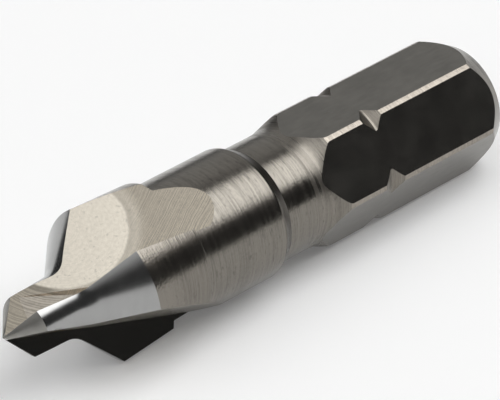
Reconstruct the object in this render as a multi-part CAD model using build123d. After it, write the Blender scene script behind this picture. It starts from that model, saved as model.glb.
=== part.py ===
from build123d import *
import os
from math import atan2, cos, degrees, radians, sin, tan

# One-piece three-flute countersink bit with a pilot, on a quarter-inch hex shank.
# It is built along +Z with its point at z = 0 and one shank corner at clock angle 0.
# Clock angles run anticlockwise seen from the shank end. All lengths are millimetres.

# --- ground head, at its cutting edges ------------------------------------------
POINT_HALF_ANGLE = 48.0       # the drill point, a little over 90 degrees across
POINT_FLAT = 0.03             # the tip is blunted by this much
PILOT_RADIUS = 1.58           # at the point's outer corner
PILOT_TAPER = 3.2             # the pilot grows by this angle on its way back
SINK_HALF_ANGLE = 45.0        # the countersink, 90 degrees across
SINK_APEX = 2.41              # where the countersink cone would come to its point
SINK_ROOT_FILLET = 1.5        # the hollow between pilot and countersink
HEAD_RADIUS = 4.0             # the rim: the largest diameter of the bit is 8 mm

# --- relief, ground off behind each cutting edge --------------------------------
EDGE_CLOCK = 8.0              # where a cutting edge lies
WING_START = -30.0            # where a wing's grinding starts, in the open flute
POINT_RELIEF = 4.0            # lean of the point's cone away from the bit's axis
SINK_RELIEF = 1.25            # lean of the countersink's cone

# --- turned body, behind the rim ------------------------------------------------
HEAD_REAR_RADIUS = 3.86       # the head tapers back so that only its rim rubs
HEAD_REAR = 10.05
SHOULDER_RUN = 0.2            # the head's small rear bevel
COLLAR_RADIUS = 3.53
COLLAR_REAR = 15.5
COLLAR_BEVEL_RUN = 0.65
COLLAR_EDGE_ROUND = 0.35
NECK_RADIUS = 3.16
FLARE_START = 18.95           # the neck widens here to the shank's corners
FLARE_END = 20.0
FLARE_ROUND = 0.8
TOTAL_LENGTH = 31.5

# --- hex shank ---------------------------------------------------------------
HEX_ACROSS_FLATS = 6.35
CORNER_RADIUS = 3.59          # the hex corners are turned down to this
END_BEVEL_START = 30.25
END_FACE_RADIUS = 2.88
NOTCH_FROM_END = 8.4          # the ring of corner notches that a bit holder's ball drops in
NOTCH_WIDTH = 1.3
NOTCH_FLOOR_RADIUS = 3.31
NOTCH_FLOOR_ROUND = 0.35

# --- flutes ------------------------------------------------------------------
FLUTE_COUNT = 3
RAKE_CLOCK = 2.0              # direction in which the flat rake face runs outward
RAKE_LEAN = 4.8               # its lean along the axis, so that the edge leads at the rim
FLOOR_CLOCK = -4.3            # direction that the flute floor looks in
FLOOR_RISE = 15.6             # slope of the long floor, which runs out on the collar
FLOOR_WEB = 0.12              # half web left under the long floor at the point
GASH_CLOCK = -3.3             # the deeper gash at the pilot
GASH_RISE = 12.6
GASH_WEB = 0.2
GASH_EXIT_AT = 3.85           # how far along its floor the gash starts to climb out
GASH_EXIT_TURN = 57.6         # the climb faces this far round from straight ahead
GASH_EXIT_SLOPE = 34.0

# --- rest --------------------------------------------------------------------
TOP_FLAT_CLOCK = -30.0        # the shank flat that faces up when the bit lies down

HEX_APOTHEM = HEX_ACROSS_FLATS / 2
SECTOR = 360 / FLUTE_COUNT
REACH = 2 * TOTAL_LENGTH      # longer than anything that a cutter crosses
POINT_CORNER = PILOT_RADIUS / tan(radians(POINT_HALF_ANGLE))
RIM = SINK_APEX + HEAD_RADIUS / tan(radians(SINK_HALF_ANGLE))
NOTCH_CENTRE = TOTAL_LENGTH - NOTCH_FROM_END
FROM_POINT = (Align.CENTER, Align.CENTER, Align.MIN)
ABOUT_AXIS = (Align.NONE, Align.NONE, Align.MIN)


def pilot_radius(station):
    """Radius of the tapering pilot at a station."""
    return PILOT_RADIUS + (station - POINT_CORNER) * tan(radians(PILOT_TAPER))


def sink_root():
    """Station where the pilot would meet the countersink cone."""
    grow, open_up = tan(radians(PILOT_TAPER)), tan(radians(SINK_HALF_ANGLE))
    return (pilot_radius(0) + open_up * SINK_APEX) / (open_up - grow)


def near(station, radius):
    """A point of a half section, at a station and radius."""
    return Vector(radius, 0, station)


def revolved(stations, rounds):
    """Turns a half section about the axis, with some of its corners rounded."""
    section = make_face(Polyline(*[near(*each) for each in stations], close=True))
    for mark, radius in rounds:
        corner = section.vertices().sort_by_distance(near(*mark))[0]
        section = fillet(corner, radius)
    return revolve(section, axis=Axis.Z)


def ground_point():
    """The cone that the point is ground to, carried past the rim."""
    height = RIM + HEAD_RADIUS
    return Cone(0, height * tan(radians(POINT_HALF_ANGLE)), height, align=FROM_POINT)


def ground_sink():
    """The pilot and countersink as ground, carried forward past the point and past the rim."""
    root = (sink_root(), pilot_radius(sink_root()))
    front, behind = -POINT_CORNER, RIM + HEAD_RADIUS
    wide = (behind - SINK_APEX) * tan(radians(SINK_HALF_ANGLE))
    stations = [(front, 0), (front, pilot_radius(front)), root, (behind, wide), (behind, 0)]
    return revolved(stations, [(root, SINK_ROOT_FILLET)])


def ground_wing():
    """What is ground off one wing's front: its surfaces fall away behind the cutting edge."""
    slice_of_round = Cylinder(REACH, (RIM + HEAD_REAR) / 2, arc_size=SECTOR, align=ABOUT_AXIS)
    from_flat = Pos(0, 0, POINT_FLAT / 2) * Rot(0, 0, WING_START) * slice_of_round
    point = Rot(POINT_RELIEF, 0, 0) * ground_point()
    sink = Rot(SINK_RELIEF, 0, 0) * ground_sink()
    return from_flat - Rot(0, 0, EDGE_CLOCK) * (point & sink)


def turned_blank():
    """The bar as it leaves the lathe: plain head, collar, neck, flare, notch and end bevel."""
    collar_edge = (COLLAR_REAR, COLLAR_RADIUS)
    flare_root = (FLARE_START, NECK_RADIUS)
    notch = (NOTCH_CENTRE, NOTCH_FLOOR_RADIUS)
    stations = [
        (POINT_FLAT, 0),
        (POINT_FLAT, HEAD_RADIUS),
        (RIM, HEAD_RADIUS),
        (HEAD_REAR, HEAD_REAR_RADIUS),
        (HEAD_REAR + SHOULDER_RUN, COLLAR_RADIUS),
        collar_edge,
        (COLLAR_REAR + COLLAR_BEVEL_RUN, NECK_RADIUS),
        flare_root,
        (FLARE_END, CORNER_RADIUS),
        (NOTCH_CENTRE - NOTCH_WIDTH / 2, CORNER_RADIUS),
        notch,
        (NOTCH_CENTRE + NOTCH_WIDTH / 2, CORNER_RADIUS),
        (END_BEVEL_START, CORNER_RADIUS),
        (TOTAL_LENGTH, END_FACE_RADIUS),
        (TOTAL_LENGTH, 0),
    ]
    rounds = [
        (collar_edge, COLLAR_EDGE_ROUND),
        (flare_root, FLARE_ROUND),
        (notch, NOTCH_FLOOR_ROUND),
    ]
    return revolved(stations, rounds)


def hex_flats():
    """What the six shank flats take off the turned blank."""
    start = FLARE_START - FLARE_ROUND
    length = TOTAL_LENGTH + HEX_APOTHEM - start
    ring = Cylinder(2 * HEX_APOTHEM, length, align=(Align.CENTER, Align.CENTER, Align.MIN))
    hexagon = RegularPolygon(HEX_APOTHEM, 6, major_radius=False)
    prism = extrude(hexagon, amount=length)
    return Pos(0, 0, start) * (ring - prism)


def beyond(plane):
    """Everything on the outward side of a plane."""
    block = Box(REACH, REACH, REACH, align=(Align.CENTER, Align.CENTER, Align.MIN))
    return plane.location * block


def rising_floor(clock, rise, web):
    """A flat floor that looks out at a clock angle and rises towards the shank."""
    turn, slope = radians(clock), radians(rise)
    outward = Vector(cos(turn) * cos(slope), sin(turn) * cos(slope), -sin(slope))
    along = Vector(cos(turn) * sin(slope), sin(turn) * sin(slope), cos(slope))
    return Plane(origin=outward * web, x_dir=along, z_dir=outward)


def rake_plane():
    """The flat rake face. It passes through the point, and the flute is on its outward side."""
    turn, lean = radians(RAKE_CLOCK), radians(RAKE_LEAN)
    outward = Vector(sin(turn) * cos(lean), -cos(turn) * cos(lean), sin(lean))
    along = Vector(-sin(turn) * sin(lean), cos(turn) * sin(lean), cos(lean))
    return Plane(origin=(0, 0, 0), x_dir=along, z_dir=outward)


def gash_exit(floor):
    """The slanting face by which the gash climbs out of its floor towards the long floor."""
    foot = floor.location * Pos(GASH_EXIT_AT, 0, 0)
    return Plane(foot * Rot(0, 0, GASH_EXIT_TURN) * Rot(0, -GASH_EXIT_SLOPE, 0))


def flute():
    """The two cuts of one flute: the long floor and the pilot's gash, beside one rake face."""
    rake_side = beyond(rake_plane())
    long_floor = rising_floor(FLOOR_CLOCK, FLOOR_RISE, FLOOR_WEB)
    gash_floor = rising_floor(GASH_CLOCK, GASH_RISE, GASH_WEB)
    gash = beyond(gash_floor) & beyond(gash_exit(gash_floor))
    return [rake_side & beyond(long_floor), rake_side & gash]


def countersink_bit():
    """The finished bit, standing on its point."""
    bit = turned_blank() - hex_flats()
    for cut in [ground_wing(), *flute()]:
        for index in range(FLUTE_COUNT):
            bit = bit - Rot(0, 0, index * SECTOR) * cut
    return bit


def laid_down(bit):
    """The bit at rest on a flat surface, on its rim and the rear edge of one shank flat."""
    bevel_share = (CORNER_RADIUS - HEX_APOTHEM) / (CORNER_RADIUS - END_FACE_RADIUS)
    flat_end = END_BEVEL_START + bevel_share * (TOTAL_LENGTH - END_BEVEL_START)
    tilt = degrees(atan2(HEAD_RADIUS - HEX_APOTHEM, flat_end - RIM))
    flat_up = Rot(0, 90, 0) * Rot(0, 0, 180 - TOP_FLAT_CLOCK)
    lying = Rot(0, tilt, 0) * flat_up * bit
    box = lying.bounding_box()
    middle = box.center()
    return Pos(-middle.X, -middle.Y, -box.min.Z) * lying


bit = laid_down(countersink_bit())
bit.label = "countersink_bit"
os.makedirs("parts", exist_ok=True)
export_step(bit, "parts/countersink_bit.step")
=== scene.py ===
import math

import bmesh
import bpy
import numpy as np
from mathutils import Euler, Matrix, Vector


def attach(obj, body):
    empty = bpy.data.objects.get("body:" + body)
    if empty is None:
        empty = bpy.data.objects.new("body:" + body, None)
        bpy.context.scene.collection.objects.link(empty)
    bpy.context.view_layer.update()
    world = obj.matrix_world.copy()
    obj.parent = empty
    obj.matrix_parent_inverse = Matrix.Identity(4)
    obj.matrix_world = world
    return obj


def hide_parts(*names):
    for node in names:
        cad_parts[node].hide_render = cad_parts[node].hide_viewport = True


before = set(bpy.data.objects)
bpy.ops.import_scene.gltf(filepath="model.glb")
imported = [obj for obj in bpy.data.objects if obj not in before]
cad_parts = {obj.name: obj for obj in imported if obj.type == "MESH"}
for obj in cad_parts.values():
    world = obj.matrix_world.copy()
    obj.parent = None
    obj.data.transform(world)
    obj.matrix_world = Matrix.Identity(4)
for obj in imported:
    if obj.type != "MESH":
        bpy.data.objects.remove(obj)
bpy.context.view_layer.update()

# --- turned blank -------------------------------------------------------------
# The bit starts as a round bar of tool steel. A lathe leaves the head, the collar, the neck,
# the flare to the shank and the ring groove. The three wings' fronts are then ground to
# leaned cones, so that each falls away behind its cutting edge.

# Lengths are millimetres, and a station is a length along the bit from its point. Clock
# angles run round it in degrees from one shank corner, anticlockwise seen from the shank end.
MM = 0.001
point_half_angle, tip_blunt = 48.0, 0.03
pilot_radius, pilot_taper = 1.58, 3.2
sink_half_angle, sink_apex, sink_root_round = 45.0, 2.41, 1.5
point_relief, sink_relief = 4.0, 1.25    # lean of each ground cone away from the bit's axis
edge_clock, wing_start, wing_count = 8.0, -30.0, 3   # an edge, and where its wing's grinding starts
head_radius, head_rear, head_rear_radius, shoulder_run = 4.0, 10.05, 3.86, 0.2
collar_radius, collar_rear, collar_bevel_run, collar_edge_round = 3.53, 15.5, 0.65, 0.35
neck_radius, neck_round = 3.16, 0.1
flare_start, flare_end, flare_root_round, flare_top_round = 18.95, 20.0, 2.4, 0.7
corner_radius, broken_edge = 3.59, 0.05
notch_centre, notch_width, notch_floor_radius, notch_floor_round = 23.1, 1.3, 3.31, 0.35
end_bevel_start, end_bevel_round, total_length, end_face_radius = 30.25, 0.1, 31.5, 2.88

# How finely the blank's skin is divided round the bit, along it and round a corner's arc.
segments, point_rows, wing_rows, land_rows, longest_row, arc_steps = 180, 12, 60, 10, 0.35, 7
halvings, widest = 44, 9.0               # the search for a leaned surface's radius

rim_station = sink_apex + head_radius / math.tan(math.radians(sink_half_angle))
turned_corners = [                       # station, radius, round on that corner
    (rim_station, head_radius, 0),
    (head_rear, head_rear_radius, broken_edge),
    (head_rear + shoulder_run, collar_radius, broken_edge),
    (collar_rear, collar_radius, collar_edge_round),
    (collar_rear + collar_bevel_run, neck_radius, neck_round),
    (flare_start, neck_radius, flare_root_round),
    (flare_end, corner_radius, flare_top_round),
    (notch_centre - notch_width / 2, corner_radius, broken_edge),
    (notch_centre, notch_floor_radius, notch_floor_round),
    (notch_centre + notch_width / 2, corner_radius, broken_edge),
    (end_bevel_start, corner_radius, end_bevel_round),
    (total_length, end_face_radius, 0),
]


def rounded(corners):
    """The corners of a half section, each replaced by an arc where it has a round."""
    out = []
    for index, (station, radius, round_radius) in enumerate(corners):
        here = np.array((station, radius))
        if not round_radius:
            out.append(here)
            continue
        before = np.array(corners[index - 1][:2]) - here
        after = np.array(corners[index + 1][:2]) - here
        before /= np.linalg.norm(before)
        after /= np.linalg.norm(after)
        half = math.acos(np.clip(before @ after, -1, 1)) / 2
        reach = round_radius / math.tan(half)
        middle = (before + after) / np.linalg.norm(before + after)
        centre = here + middle * round_radius / math.sin(half)
        start, end = here + before * reach - centre, here + after * reach - centre
        sweep = math.pi - 2 * half
        for step in range(arc_steps + 1):
            share = step / arc_steps
            a, b = math.sin((1 - share) * sweep), math.sin(share * sweep)
            out.append(centre + (a * start + b * end) / math.sin(sweep))
    return np.array(out)


def point_shape(station):
    """Radius of the point's cone, before its lean."""
    return station * math.tan(math.radians(point_half_angle))


def pilot_at(station):
    """Radius of the tapering pilot, before its lean."""
    point_corner = pilot_radius / math.tan(math.radians(point_half_angle))
    return pilot_radius + (station - point_corner) * math.tan(math.radians(pilot_taper))


def sink_shape(station):
    """Radius of the pilot, the hollow root and the countersink cone, before their lean."""
    slope, steep = math.radians(pilot_taper), math.radians(sink_half_angle)
    root = (pilot_at(0) + math.tan(steep) * sink_apex) / (math.tan(steep) - math.tan(slope))
    reach = sink_root_round * math.tan((steep - slope) / 2)
    start, end = root - reach * math.cos(slope), root + reach * math.cos(steep)
    centre_station = start - sink_root_round * math.sin(slope)
    centre_radius = pilot_at(start) + sink_root_round * math.cos(slope)
    inside = np.maximum(sink_root_round**2 - (station - centre_station) ** 2, 0)
    hollow = centre_radius - np.sqrt(inside)
    cone = (station - sink_apex) * math.tan(steep)
    return np.where(station < start, pilot_at(station), np.where(station < end, hollow, cone))


def land_shape(station):
    """Radius of the head land, which tapers back from its rim."""
    return np.interp(station, [rim_station, head_rear], [head_radius, head_rear_radius])


def halved(low, high, past):
    """The values round the bit at which a test turns true, found by halving."""
    low, high = np.full(segments, low), np.full(segments, high)
    for _ in range(halvings):
        middle = (low + high) / 2
        low, high = np.where(past(middle), low, middle), np.where(past(middle), middle, high)
    return (low + high) / 2


clocks = np.radians(np.arange(segments) * 360 / segments)
wing_clocks = (np.degrees(clocks) - wing_start) % (360 / wing_count) + wing_start
behind_edge = np.radians(wing_clocks - edge_clock)


def leaned(shape, relief):
    """Radii round the bit, at given stations, of a ground shape that leans about the point."""
    lean, x, y = math.radians(relief), np.cos(behind_edge), np.sin(behind_edge)

    def radii(station):
        def outside(radius):
            across = radius * y * math.cos(lean) + station * math.sin(lean)
            along = -radius * y * math.sin(lean) + station * math.cos(lean)
            return np.hypot(radius * x, across) > shape(along)

        return halved(0.0, widest, outside)

    return radii


ground_point, ground_sink = leaned(point_shape, point_relief), leaned(sink_shape, sink_relief)
point_ends = halved(tip_blunt, head_radius, lambda station: ground_point(station) > ground_sink(station))
wing_ends = halved(head_radius, head_rear, lambda station: ground_sink(station) > land_shape(station))

turned = rounded(turned_corners)


def between(start, end, shape, shares):
    """Rows of one surface, at shares of the way from its front edge to its rear one."""
    stations = [start + (end - start) * share for share in shares]
    return [(station, shape(station)) for station in stations]


# Each row of the blank's skin is the stations and the radii of its points, all the way round.
rows = between(tip_blunt, point_ends, ground_point, np.linspace(0, 1, point_rows + 1))
rows += between(point_ends, wing_ends, ground_sink, np.linspace(0, 1, wing_rows + 1)[1:])
rows += between(wing_ends, turned[1][0], land_shape, np.linspace(0, 1, land_rows + 1)[1:])
for here, after in zip(turned[1:], turned[2:]):
    count = max(1, int((after[0] - here[0]) / longest_row))
    for share in np.linspace(0, 1, count + 1)[1:]:
        station, radius = here + (after - here) * share
        rows.append((np.full(segments, station), np.full(segments, radius)))


def placed(name, points, faces):
    """A new object with a mesh of given points and faces, at the scene's origin."""
    mesh = bpy.data.meshes.new(name)
    mesh.from_pydata([tuple(map(float, point)) for point in points], [], faces)
    made = bpy.data.objects.new(name, mesh)
    bpy.context.collection.objects.link(made)
    return made


points = [(r * math.cos(clock), r * math.sin(clock), z)
          for station, radius in rows for clock, r, z in zip(clocks, radius, station)]
faces = []
for row in range(0, len(points) - segments, segments):
    for i in range(segments):
        j = (i + 1) % segments
        faces.append((row + i, row + j, row + segments + j, row + segments + i))
faces.append(tuple(range(segments))[::-1])
faces.append(tuple(range(len(points) - segments, len(points))))
blank = placed("countersink_bit_finished", points, faces)

# --- flutes and shank flats ---------------------------------------------------
# A shaped wheel grinds three flutes: each has a flat rake face and a long sloping floor, and
# a deeper gash frees the pilot. A hex die drawn over the shank leaves its quarter-inch flats.

rake_clock, rake_lean = math.radians(2.0), math.radians(4.8)
floor_clock, floor_rise, floor_web = -4.3, 15.6, 0.12
gash_clock, gash_rise, gash_web = -3.3, 12.6, 0.2
gash_exit_at, gash_exit_turn, gash_exit_slope = 3.85, 57.6, 34.0
wheel_front, flute_wheel_rear, flute_wheel_width, gash_wheel_width = -3.0, 14.5, 9.0, 6.0
hex_apothem, die_front, die_rear, die_radius = 3.175, 18.15, 34.0, 8.0

rake_out = Vector((math.sin(rake_clock) * math.cos(rake_lean),
                   -math.cos(rake_clock) * math.cos(rake_lean), math.sin(rake_lean)))


def rising_floor(clock, rise, web):
    """Frame of a rising floor: its X runs up the floor, its Z looks out of the steel."""
    turn, slope = math.radians(clock), math.radians(rise)
    out = Vector((math.cos(turn) * math.cos(slope), math.sin(turn) * math.cos(slope), -math.sin(slope)))
    along = Vector((math.cos(turn) * math.sin(slope), math.sin(turn) * math.sin(slope), math.cos(slope)))
    return Matrix.Translation(out * web) @ Matrix((along, out.cross(along), out)).transposed().to_4x4()


def outward(place):
    """The direction in which a floor's frame looks out of the steel."""
    return place.col[2].to_3d()


floor_place = rising_floor(floor_clock, floor_rise, floor_web)
gash_place = rising_floor(gash_clock, gash_rise, gash_web)
exit_place = (gash_place @ Matrix.Translation((gash_exit_at, 0, 0))
              @ Matrix.Rotation(math.radians(gash_exit_turn), 4, "Z")
              @ Matrix.Rotation(math.radians(-gash_exit_slope), 4, "Y"))


def along_to(station):
    """How far an edge runs from a corner to a station."""
    return lambda corner, edge: (station - corner.z) / edge.z


def along_to_exit(corner, edge):
    """How far an edge runs from a corner to the gash's exit face."""
    out = outward(exit_place)
    return out.dot(exit_place.translation - corner) / out.dot(edge)


def wheel(name, place, rear, width):
    """The block that a grinding wheel sweeps, between the rake face and a floor."""
    out = outward(place)

    def facing(direction, side):
        direction = direction.normalized()
        return direction if direction.dot(side) > 0 else -direction

    edge = facing(rake_out.cross(out), Vector((0, 0, 1)))
    across = facing(edge.cross(out), rake_out)
    upward = facing(edge.cross(rake_out), out)
    base = place.translation
    foot = base - across * (rake_out.dot(base) / rake_out.dot(across))
    corners = [foot + a * width * across + b * width * upward for a, b in ((0, 0), (1, 0), (1, 1), (0, 1))]
    ends = [corner + edge * reach(corner, edge) for reach in (along_to(wheel_front), rear)
            for corner in corners]
    quads = [(0, 1, 2, 3), (7, 6, 5, 4), (0, 4, 5, 1), (1, 5, 6, 2), (2, 6, 7, 3), (3, 7, 4, 0)]
    made = placed(name, ends, quads)
    shaped = bmesh.new()
    shaped.from_mesh(made.data)
    bmesh.ops.recalc_face_normals(shaped, faces=shaped.faces)
    shaped.to_mesh(made.data)
    shaped.free()
    return made


flute_wheel = wheel("flute_wheel", floor_place, along_to(flute_wheel_rear), flute_wheel_width)
gash_wheel = wheel("gash_wheel", gash_place, along_to_exit, gash_wheel_width)

die_points, die_faces = [], []
for station in (die_front, die_rear):
    for radius in (hex_apothem / math.cos(math.pi / 6), die_radius):
        for corner in range(6):
            turn = math.radians(60 * corner)
            die_points.append((radius * math.cos(turn), radius * math.sin(turn), station))
for i in range(6):
    j = (i + 1) % 6
    die_faces += [(i, i + 12, j + 12, j), (i + 6, j + 6, j + 18, i + 18),
                  (i, j, j + 6, i + 6), (i + 12, i + 18, j + 18, j + 12)]
hex_die = placed("hex_die", die_points, die_faces)


def wired(tree, kind, inputs=None, **settings):
    """A new node of a tree, with its settings made and its inputs set or linked."""
    node = tree.nodes.new(kind)
    for name, value in settings.items():
        setattr(node, name, value)
    for name, values in (inputs or {}).items():
        for value in values if isinstance(values, list) else [values]:
            if isinstance(value, bpy.types.NodeSocket):
                tree.links.new(value, node.inputs[name])
            else:
                node.inputs[name].default_value = value
    return node


steel = bpy.data.materials.new("turned_steel")
cutting_inputs = {                       # name of each input, its kind of socket and its value
    "Flute wheel": ("NodeSocketObject", flute_wheel),
    "Gash wheel": ("NodeSocketObject", gash_wheel),
    "Hex die": ("NodeSocketObject", hex_die),
    "Flutes": ("NodeSocketInt", wing_count),
    "Steel": ("NodeSocketMaterial", steel),
}
tree = bpy.data.node_groups.new("cut_round_the_axis", "GeometryNodeTree")
tree.interface.new_socket("Geometry", in_out="INPUT", socket_type="NodeSocketGeometry")
for name, (kind, _) in cutting_inputs.items():
    tree.interface.new_socket(name, in_out="INPUT", socket_type=kind)
tree.interface.new_socket("Geometry", in_out="OUTPUT", socket_type="NodeSocketGeometry")
entry = tree.nodes.new("NodeGroupInput").outputs
flute_tool, gash_tool, die_tool = (
    wired(tree, "GeometryNodeObjectInfo", {"Object": entry[name]}).outputs["Geometry"]
    for name in ("Flute wheel", "Gash wheel", "Hex die"))
one_flute = wired(tree, "GeometryNodeMeshBoolean", {"Mesh 2": [flute_tool, gash_tool]},
                  operation="UNION", solver="EXACT")
spacing = wired(tree, "ShaderNodeMath", {0: 2 * math.pi, 1: entry["Flutes"]}, operation="DIVIDE")
index = wired(tree, "GeometryNodeInputIndex")
turn = wired(tree, "ShaderNodeMath", {0: index.outputs[0], 1: spacing.outputs[0]}, operation="MULTIPLY")
spin = wired(tree, "ShaderNodeCombineXYZ", {"Z": turn.outputs[0]})
places = wired(tree, "GeometryNodePoints", {"Count": entry["Flutes"]})
spread = wired(tree, "GeometryNodeInstanceOnPoints", {
    "Points": places.outputs[0], "Instance": one_flute.outputs["Mesh"], "Rotation": spin.outputs[0]})
all_flutes = wired(tree, "GeometryNodeRealizeInstances", {0: spread.outputs[0]})
cut = wired(tree, "GeometryNodeMeshBoolean", {
    "Mesh 1": entry["Geometry"], "Mesh 2": [all_flutes.outputs[0], die_tool]},
            operation="DIFFERENCE", solver="EXACT")
done = wired(tree, "GeometryNodeRealizeInstances", {0: cut.outputs["Mesh"]})
coat = wired(tree, "GeometryNodeSetMaterial", {"Geometry": done.outputs[0], "Material": entry["Steel"]})
wired(tree, "NodeGroupOutput", {0: coat.outputs[0]})

cutting = blank.modifiers.new("cutting", "NODES")
cutting.node_group = tree
for item in tree.interface.items_tree:
    if item.in_out == "INPUT" and item.name in cutting_inputs:
        cutting[item.identifier] = cutting_inputs[item.name][1]
finished = bpy.data.meshes.new_from_object(blank.evaluated_get(bpy.context.evaluated_depsgraph_get()))
blank.modifiers.remove(cutting)
blank.data = finished
for tool in (flute_wheel, gash_wheel, hex_die):
    bpy.data.objects.remove(tool)

# --- turned, ground and drawn surfaces ----------------------------------------
# The steel is left bare. The lathe leaves fine broken lines, the grinding wheel leaves arcs
# in the flutes and a close grain on the wings, and the die leaves faint streaks on the flats.

margin, close_margin, same_plane, sharpest_smooth = 0.05, 0.02, 0.99995, math.radians(22)
point_rear, land_front, gash_rear, floor_rear, floor_radius = 2.0, 5.5, 10.0, 15.2, 3.4
point_slope, land_slope, flat_slope, flat_turn = -0.5, 0.2, 0.001, 0.01
marks_scale = 10.0                       # millimetres to one unit of the wheel marks' UV map
bit_place = (-15.8039, 0.0186, 4.2129)   # the point, from the frame's origin
top_flat_clock = -30.0                   # the shank flat that faces up when the bit lies down

flute_faces = [("rake", rake_out, floor_rear), ("flute_floor", outward(floor_place), floor_rear),
               ("gash", outward(gash_place), gash_rear), ("gash_exit", outward(exit_place), gash_rear)]
up_rake = rake_out.cross(Vector((rake_out.y, -rake_out.x, 0))).normalized()
up_rake = up_rake if up_rake.z > 0 else -up_rake
wheel_marks = finished.uv_layers.new(name="wheel_marks").data


def on_head(face):
    """How a face of the head is finished. A flute's face gets its place on the wheel marks too."""
    out, middle = face.normal, face.center
    kind = "head_land" if middle.z > land_front and abs(out.z) < land_slope else "wing"
    if out.z < point_slope and middle.z < point_rear:
        kind = "point"
    for flute in range(wing_count):
        back = Matrix.Rotation(-2 * math.pi * flute / wing_count, 3, "Z")
        for name, normal, rear in flute_faces:
            if (back @ out).dot(normal) > same_plane and middle.z < rear:
                kind = name
                for loop in face.loop_indices:
                    spot = back @ finished.vertices[finished.loops[loop].vertex_index].co
                    wheel_marks[loop].uv = Vector((-spot.dot(rake_out), spot.dot(up_rake))) / marks_scale
    return kind


def on_shank(face):
    """How a face of the flare or the shank is finished."""
    middle, radius = face.center, math.hypot(face.center.x, face.center.y)
    off_flat = abs(math.degrees(math.atan2(face.normal.y, face.normal.x)) % 60 - 30)
    if abs(face.normal.z) < flat_slope and off_flat < flat_turn and radius < corner_radius - close_margin:
        return "flat"
    if abs(middle.z - notch_centre) < notch_width / 2 + margin:
        return "notch"
    if middle.z <= flare_end - margin:
        return "flare"
    return "shank_corner" if middle.z < end_bevel_start + margin else "turned"


kinds = []
for face in finished.polygons:
    station, radius = face.center.z, math.hypot(face.center.x, face.center.y)
    if station < head_rear - close_margin or (station < floor_rear and radius < floor_radius):
        kinds.append(on_head(face))
    elif station > die_front - margin:
        kinds.append(on_shank(face))
    elif collar_rear - margin < station < collar_rear + collar_bevel_run + margin:
        kinds.append("collar_bevel")
    else:
        kinds.append("turned")

# The bit lies on its rim and on the rear edge of one flat, so its shank end dips a little.
bevel_share = (corner_radius - hex_apothem) / (corner_radius - end_face_radius)
flat_end = end_bevel_start + bevel_share * (total_length - end_bevel_start)
tilt = math.atan2(head_radius - hex_apothem, flat_end - rim_station)
lie = (Matrix.Translation(bit_place) @ Matrix.Rotation(tilt + math.radians(90), 4, "Y")
       @ Matrix.Rotation(math.radians(180 - top_flat_clock), 4, "Z"))
finished.transform(Matrix.Scale(MM, 4) @ lie)
finished.update()
shaped = bmesh.new()
shaped.from_mesh(finished)
for face in shaped.faces:
    face.smooth = True
for edge in shaped.edges:
    a, b = edge.link_faces
    edge.smooth = kinds[a.index] == kinds[b.index] and a.normal.angle(b.normal, 0) < sharpest_smooth
shaped.to_mesh(finished)
shaped.free()


def toned(colour, share):
    """A colour made darker or lighter."""
    return tuple(part * share for part in colour)


class SteelFinish:
    """One finish of the bare steel, worked out in the bit's own millimetres."""

    def __init__(self, name, colour, roughness):
        self.metal = bpy.data.materials.get(name) or bpy.data.materials.new(name)
        self.metal.use_nodes = True
        self.tree = self.metal.node_tree
        self.shader = self.tree.nodes["Principled BSDF"].inputs
        self.shader["Metallic"].default_value = 1.0
        self.shader["Base Color"].default_value = (*colour, 1)
        self.shader["Roughness"].default_value = roughness
        spot = wired(self.tree, "ShaderNodeTexCoord").outputs["Object"]
        self.place = wired(self.tree, "ShaderNodeMapping", {
            "Vector": spot, "Location": lie.translation * MM, "Rotation": lie.to_euler(),
            "Scale": (MM, MM, MM)}, vector_type="TEXTURE").outputs["Vector"]

    def worked(self, operation, *values):
        """The result of a Math node."""
        return wired(self.tree, "ShaderNodeMath", dict(enumerate(values)), operation=operation).outputs[0]

    def plus(self, first, second):
        return self.worked("ADD", first, second)

    def times(self, first, second):
        return self.worked("MULTIPLY", first, second)

    def distance(self, x, y):
        return self.worked("SQRT", self.plus(self.times(x, x), self.times(y, y)))

    def eased(self, value, start, end, low=0.0, high=1.0):
        """A smooth step from one value to another between two marks."""
        return wired(self.tree, "ShaderNodeMapRange", {
            "Value": value, "From Min": start, "From Max": end, "To Min": low, "To Max": high},
                     interpolation_type="SMOOTHSTEP").outputs[0]

    def mixed(self, share, first, second):
        """Two colours mixed, each given as a colour or as a socket."""
        first, second = ((*each, 1) if isinstance(each, tuple) else each for each in (first, second))
        return wired(self.tree, "ShaderNodeMix", {0: share, 6: first, 7: second},
                     data_type="RGBA").outputs[2]

    def grains(self, place, scale, detail=3.0, stretch=(1, 1, 1)):
        """Noise of so many grains a millimetre, squeezed or drawn out along the three axes."""
        sized = wired(self.tree, "ShaderNodeVectorMath", {0: place, 1: stretch}, operation="MULTIPLY")
        return wired(self.tree, "ShaderNodeTexNoise", {
            "Vector": sized.outputs[0], "Scale": scale, "Detail": detail}).outputs["Fac"]

    def give(self, colour, height, depth, roughness=None):
        """Links the colour, the bump and any varied roughness, and gives back the steel."""
        self.tree.links.new(colour, self.shader["Base Color"])
        if roughness is not None:
            self.tree.links.new(roughness, self.shader["Roughness"])
        bump = wired(self.tree, "ShaderNodeBump", {
            "Height": height, "Strength": 1.0, "Distance": depth * MM})
        self.tree.links.new(bump.outputs[0], self.shader["Normal"])
        return self.metal


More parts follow.
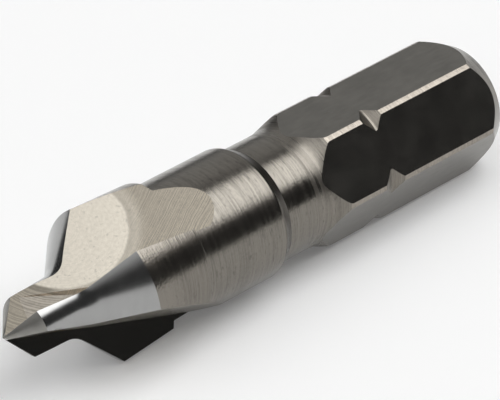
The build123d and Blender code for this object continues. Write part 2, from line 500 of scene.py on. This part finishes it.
def turned_finish(name, colour, roughness, depth, lines=5.0, pitted=0.15, pits_fade=None):
    """Fine lathe lines round the axis, some deeper, torn here and there, with small pits."""
    bare = SteelFinish(name, colour, roughness)
    spot = wired(bare.tree, "ShaderNodeSeparateXYZ", {0: bare.place}).outputs
    # The tool moves along the bit on its sides, and across it on faces square to the axis.
    tool_at = bare.plus(spot["Z"], bare.distance(spot["X"], spot["Y"]))
    ring_place = wired(bare.tree, "ShaderNodeCombineXYZ", {
        "X": spot["X"], "Y": spot["Y"], "Z": tool_at}).outputs[0]
    fine = bare.grains(ring_place, 1.0, 3.0, (0.5, 0.5, lines * 4))
    broad = bare.grains(ring_place, 1.0, 2.0, (0.2, 0.2, lines * 1.1))
    pits = bare.times(bare.grains(bare.place, 8.0, 2.0), pitted)
    if pits_fade:
        pits = bare.times(pits, bare.eased(spot["Z"], *pits_fade, 1.0, 0.25))
    height = bare.plus(bare.plus(bare.times(fine, 0.8), bare.times(broad, 0.3)), pits)
    lined = bare.mixed(bare.eased(height, 0.4, 0.85), toned(colour, 0.8), toned(colour, 1.22))
    torn = bare.eased(bare.grains(ring_place, 1.0, 3.0, (2.2, 2.2, 7.0)), 0.6, 0.72, 0.0, 0.42)
    return bare.give(bare.mixed(torn, lined, toned(colour, 0.35)), height, depth,
                     bare.eased(broad, 0.3, 0.7, roughness * 1.25, roughness * 0.8))


def ground_finish(name, colour, roughness, grain, depth, stretch, cloud):
    """A close ground or drawn face, with faint streaks and cloudy patches."""
    bare = SteelFinish(name, colour, roughness)
    streaks = bare.grains(bare.place, grain, 3.0, stretch)
    patches = bare.grains(bare.place, 0.7, 2.0)
    share = bare.eased(bare.times(bare.plus(streaks, patches), 0.5), 0.2, 0.8)
    clouded = bare.mixed(share, toned(colour, 1 - cloud), toned(colour, 1 + cloud))
    return bare.give(clouded, streaks, depth,
                     bare.eased(patches, 0.2, 0.8, roughness * 0.9, roughness * 1.1))


# The wheel's first stop in the flute, on the wheel marks' UV map, with the width of its edge.
dwell_centre, dwell_radius, dwell_edge = (-0.345, 0.526), 0.318, 0.017


def wheel_finish(name, coarse_colour, roughness, depth, quiet_and_highlight_colour=None):
    """Close coarse arcs left by the grinding wheel, faint inside its first stop when that has its own colour,
    which is painted lighter there as a painted highlight.
    """
    bare = SteelFinish(name, coarse_colour, roughness)
    spot = wired(bare.tree, "ShaderNodeUVMap", uv_map="wheel_marks").outputs[0]
    flat = wired(bare.tree, "ShaderNodeSeparateXYZ", {0: spot}).outputs
    away = bare.worked("SUBTRACT", flat["X"], dwell_centre[0])
    along = bare.worked("SUBTRACT", flat["Y"], dwell_centre[1])
    reach = bare.distance(away, along)
    slant = bare.plus(bare.times(along, 0.56), bare.times(away, 0.83))
    wobble = bare.times(bare.grains(bare.place, 0.8, 1.0), 0.02)

    def arcs(value, close):
        return wired(bare.tree, "ShaderNodeTexNoise", {
            "W": bare.plus(value, wobble), "Scale": close, "Detail": 2.0},
                     noise_dimensions="1D").outputs["Fac"]

    grain = bare.grains(bare.place, 6.0, 3.0)
    front = bare.eased(along, -0.12, -0.24)
    hatch = bare.plus(bare.times(arcs(reach, 95.0), front),
                      bare.times(arcs(slant, 240.0), bare.worked("SUBTRACT", 1.0, front)))
    contrast = 0.17 if quiet_and_highlight_colour else 0.25
    scored = bare.mixed(
        bare.eased(bare.plus(bare.times(hatch, 0.75), bare.times(grain, 0.25)), 0.36, 0.64),
        toned(coarse_colour, 1 - contrast), toned(coarse_colour, 1 + contrast))
    if not quiet_and_highlight_colour:
        return bare.give(scored, bare.plus(hatch, bare.times(grain, 0.1)), depth)

    swayed = bare.plus(reach, wobble)
    wide = bare.eased(swayed, dwell_radius, 0.42)
    sharp = bare.eased(swayed, dwell_radius, dwell_radius + dwell_edge)
    coarse = bare.worked("MAXIMUM", bare.times(sharp, front),
                         bare.plus(bare.times(sharp, 0.35), bare.times(wide, 0.65)))
    specks = bare.eased(bare.grains(bare.place, 5.0, 4.0), 0.62, 0.7)
    faint = bare.plus(bare.times(arcs(reach, 170.0), 0.3), bare.times(grain, 0.7))
    # Inside the first stop the marks are faint and the steel takes the lighter colour, a painted highlight of
    # the lamp along its grooves, with dark specks.
    quiet_and_highlight = bare.mixed(bare.eased(faint, 0.3, 0.7), toned(quiet_and_highlight_colour, 0.93), toned(quiet_and_highlight_colour, 1.05))
    quiet_and_highlight = bare.mixed(bare.times(specks, 0.35), quiet_and_highlight, toned(quiet_and_highlight_colour, 0.5))
    # A dark ring is painted just outside the first stop's edge, stronger towards the front: painted shade
    # along that edge.
    ring = bare.times(sharp, bare.eased(swayed, 0.37, dwell_radius + dwell_edge))
    ring = bare.times(ring, bare.plus(bare.times(front, 0.25), 0.25))
    colour = bare.mixed(ring, bare.mixed(coarse, quiet_and_highlight, scored), toned(coarse_colour, 0.4))
    scored_depth = bare.times(hatch, bare.plus(bare.times(coarse, 0.9), 0.08))
    return bare.give(colour, bare.plus(scored_depth, bare.times(grain, 0.1)), depth)


finishes = {                             # name, colour, roughness and depth of the marks, and more
    "turned": turned_finish("turned_steel", (0.175, 0.163, 0.143), 0.19, 0.008, pitted=0.32),
    "wing": ground_finish("ground_steel", (0.345, 0.345, 0.34), 0.18, 1.5, 0.0006, (1, 1, 3), 0.06),
    # The second colour of the rake and of the flute floor, for the wheel's first stop, is painted lighter: a
    # painted highlight.
    "rake": wheel_finish("rake_steel", (0.16, 0.155, 0.14), 0.15, 0.001, (0.2, 0.195, 0.18)),
    "flute_floor": wheel_finish(
        "flute_floor_steel", (0.2, 0.181, 0.15), 0.25, 0.004, (0.41, 0.381, 0.328)),
    "gash": wheel_finish("gash_steel", (0.165, 0.151, 0.13), 0.28, 0.005),
    # The gash exit is painted far lighter than the other flute steel: painted light that lifts the dark its
    # steep face reflects.
    "gash_exit": wheel_finish("gash_exit_steel", (0.58, 0.49, 0.38), 0.6, 0.001),
    "flat": ground_finish(
        "drawn_flat_steel", (0.19, 0.182, 0.165), 0.23, 4.0, 0.0016, (1, 1, 0.3), 0.16),
    "shank_corner": turned_finish("shank_corner_steel", (0.265, 0.24, 0.208), 0.24, 0.006, 8.0, 0.32),
    "notch": turned_finish("notch_steel", (0.2, 0.184, 0.16), 0.31, 0.004),
    "head_land": turned_finish(
        "head_land_steel", (0.182, 0.168, 0.147), 0.19, 0.009, pitted=0.9, pits_fade=(6.7, 8.4)),
    "point": ground_finish("point_steel", (0.29, 0.283, 0.265), 0.4, 2.5, 0.002, (1, 1, 1), 0.15),
    # The collar bevel is painted darker than the turned steel beside it: painted shade at the step behind the
    # collar.
    "collar_bevel": turned_finish("bevel_painted_shade_steel", (0.115, 0.106, 0.092), 0.26, 0.006),
    "flare": turned_finish("flare_steel", (0.182, 0.169, 0.148), 0.3, 0.008, pitted=0.32),
}
finished.materials.clear()
for metal in finishes.values():
    finished.materials.append(metal)
slots = {kind: slot for slot, kind in enumerate(finishes)}
finished.polygons.foreach_set("material_index", [slots[kind] for kind in kinds])
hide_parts("countersink_bit")
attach(blank, "root")

# --- pale board ---------------------------------------------------------------
# The bit lies on a plain matt board, painted white, which is wider than the tent over it.
# Where the camera or the steel looks at it, it is brought up to the white of the room.

board_reach, board_white, board_glow = 3.0, 0.9, 0.12
board_corners = [(x * board_reach, y * board_reach, 0) for x, y in ((-1, -1), (1, -1), (1, 1), (-1, 1))]


def seen_by_eye(tree):
    """1 for a ray from the camera, off metal or through glass, and 0 for one that only lights."""
    rays = wired(tree, "ShaderNodeLightPath").outputs
    seen = rays["Is Camera Ray"]
    for name in ("Is Glossy Ray", "Is Transmission Ray"):
        seen = wired(tree, "ShaderNodeMath", {0: seen, 1: rays[name]}, operation="MAXIMUM").outputs[0]
    return seen


def unlit_material(name):
    """A material whose tree holds only its output, with that output's surface."""
    made = bpy.data.materials.new(name)
    made.use_nodes = True
    made.node_tree.nodes.remove(made.node_tree.nodes["Principled BSDF"])
    return made, made.node_tree, made.node_tree.nodes["Material Output"].inputs["Surface"]


floor = placed("floor", board_corners, [(0, 1, 2, 3)])
paint, tree, surface = unlit_material("pale_board")
matt = wired(tree, "ShaderNodeBsdfDiffuse", {"Color": (board_white, board_white, board_white, 1)})
glow = wired(tree, "ShaderNodeEmission", {"Strength": board_glow})
added = wired(tree, "ShaderNodeAddShader", {0: matt.outputs[0], 1: glow.outputs[0]})
shown = wired(tree, "ShaderNodeMixShader", {0: seen_by_eye(tree), 1: matt.outputs[0], 2: added.outputs[0]})
tree.links.new(shown.outputs[0], surface)
floor.data.materials.append(paint)

# --- light tent ---------------------------------------------------------------
# A round tent of thin cloth stands over the bit and lights it through three soft patches. The
# cloth between them stays nearly dark, which draws the dark bands along the steel.

tent_radius, cloth_glow = 1.5, 0.05
tent_patches = [                         # azimuth, height, full to, faded by, strength
    (-38, 57, 18, 31, 3.05),
    (165, 58, 30, 54, 0.97),
    (45, 32, 8, 34, 0.5),
]

tent = placed("light_tent", [], [])
shaped = bmesh.new()
bmesh.ops.create_uvsphere(shaped, u_segments=48, v_segments=32, radius=tent_radius)
shaped.to_mesh(tent.data)
shaped.free()
tent.visible_camera = False
cloth, tree, surface = unlit_material("tent_cloth")
spot = wired(tree, "ShaderNodeTexCoord").outputs["Object"]
toward = wired(tree, "ShaderNodeVectorMath", {0: spot}, operation="NORMALIZE").outputs[0]


def lit_patch(azimuth, height, full_to, faded_by, strength):
    """A soft round patch of the cloth, full out to one angle and dark past another."""
    az, el = math.radians(azimuth), math.radians(height)
    aim = (math.cos(az) * math.cos(el), math.sin(az) * math.cos(el), math.sin(el))
    near = wired(tree, "ShaderNodeVectorMath", {0: toward, 1: aim}, operation="DOT_PRODUCT")
    return wired(tree, "ShaderNodeMapRange", {
        "Value": near.outputs["Value"], "From Min": math.cos(math.radians(faded_by)),
        "From Max": math.cos(math.radians(full_to)), "To Max": strength},
                 interpolation_type="SMOOTHSTEP").outputs[0]


light, *others = (lit_patch(*patch) for patch in tent_patches)
for other in others:
    light = wired(tree, "ShaderNodeMath", {0: light, 1: other}, operation="MAXIMUM").outputs[0]
light = wired(tree, "ShaderNodeMath", {0: light, 1: cloth_glow}, operation="ADD").outputs[0]
glow = wired(tree, "ShaderNodeEmission", {"Strength": light})
tree.links.new(glow.outputs[0], surface)
tent.data.materials.append(cloth)

# --- white room and camera ----------------------------------------------------
# The room is white to the eye and in the steel, and adds no light of its own. The camera
# stands well back from the bit, with a long lens.

room = bpy.data.worlds.new("white_room")
bpy.context.scene.world = room
room.use_nodes = True
background = room.node_tree.nodes["Background"].inputs
background["Color"].default_value = (1, 1, 1, 1)
room.node_tree.links.new(seen_by_eye(room.node_tree), background["Strength"])

eye = bpy.data.cameras.new("camera")
eye.sensor_width, eye.lens = 36, 302.18
eye.shift_x, eye.shift_y = -0.001, 0.001
eye.clip_start = 0.01
camera = bpy.data.objects.new("camera", eye)
bpy.context.collection.objects.link(camera)
camera_at, camera_turn = Vector((-0.118117, -0.128479, 0.116789)), (57.17056, 2.47278, -44.33410)
camera.matrix_world = Matrix.LocRotScale(camera_at, Euler([math.radians(turn) for turn in camera_turn]), None)
bpy.context.scene.camera = camera
bpy.context.scene.view_settings.view_transform = "Standard"
